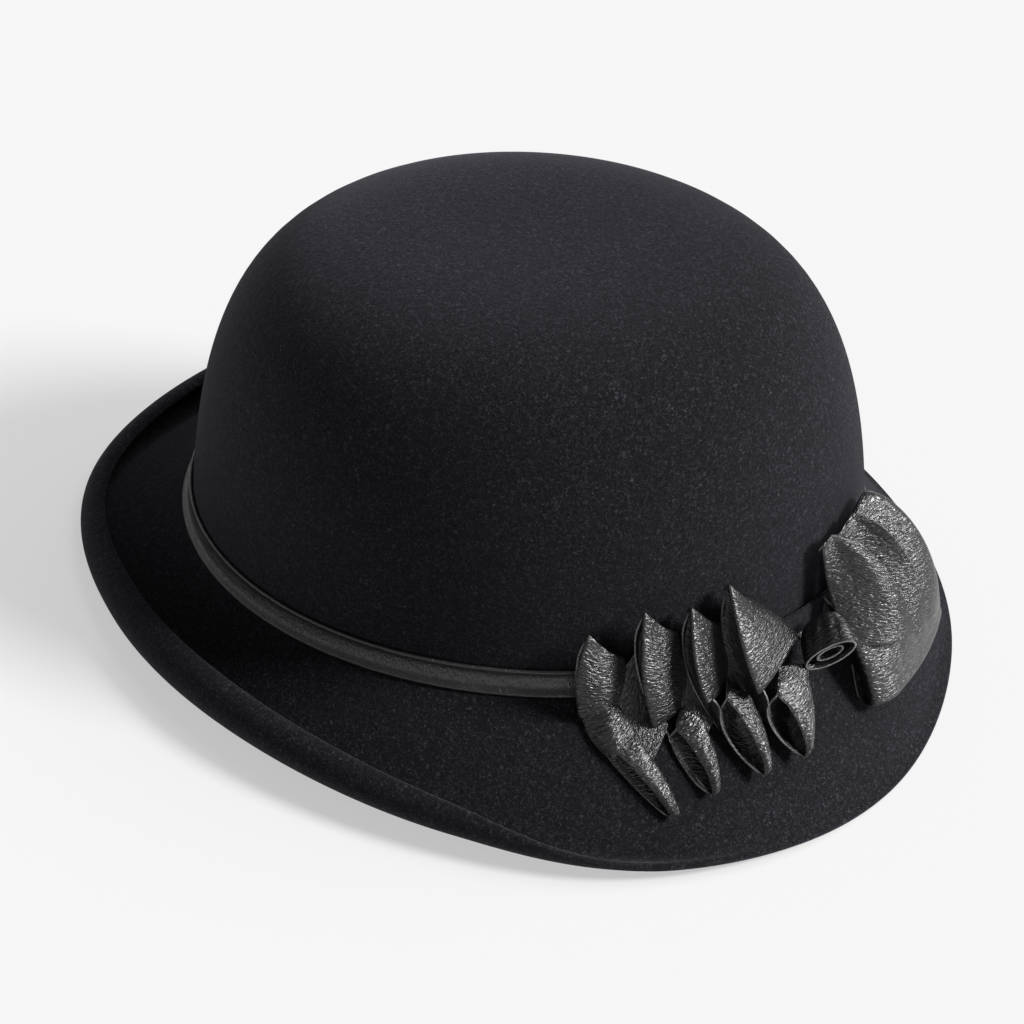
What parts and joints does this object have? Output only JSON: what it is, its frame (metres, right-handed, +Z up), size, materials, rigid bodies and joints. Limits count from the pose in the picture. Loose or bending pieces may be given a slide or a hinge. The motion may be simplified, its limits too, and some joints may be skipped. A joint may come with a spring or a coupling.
{
  "type": "bowler hat",
  "caption": "Women's felt bowler hat: round crown, brim dipped in front and curled up at the back, narrow leather band with a pleated bow at the right front, lined inside.",
  "frame": {"origin": "centre of the hat's outline on the surface that it stands on", "axes": "+Z up; +Y towards the back of the hat, -Y towards its front; -X towards the wearer's right, where the bow is. The crown's axis leans 6.4 degrees towards the back, as the hat stands on its brim."},
  "size_m": [0.2542, 0.2709, 0.1311],
  "materials": {
    "wool_felt": "matte wool felt, lightly brushed",
    "faux_leather": "satin faux leather with a wrinkled grain",
    "grosgrain": "ribbed ribbon",
    "lining_satin": "satin",
    "thread": "twisted thread",
    "label_cloth": "woven label"
  },
  "bodies": {
    "root": {"felt_body": "wool_felt", "hatband": "faux_leather", "hatband_tacks": "thread", "bow_backing": "wool_felt", "bow_pleats_left": "faux_leather", "bow_pleats_right": "faux_leather", "bow_knot": "faux_leather", "bow_stitches": "thread", "sweatband": "grosgrain", "sweatband_stitches": "thread", "sweatband_bow": "grosgrain", "lining_side": "lining_satin", "lining_tip": "lining_satin", "lining_seam": "thread", "size_label": "label_cloth", "care_label": "label_cloth", "label_stitches": "thread"}
  },
  "joints": []
}
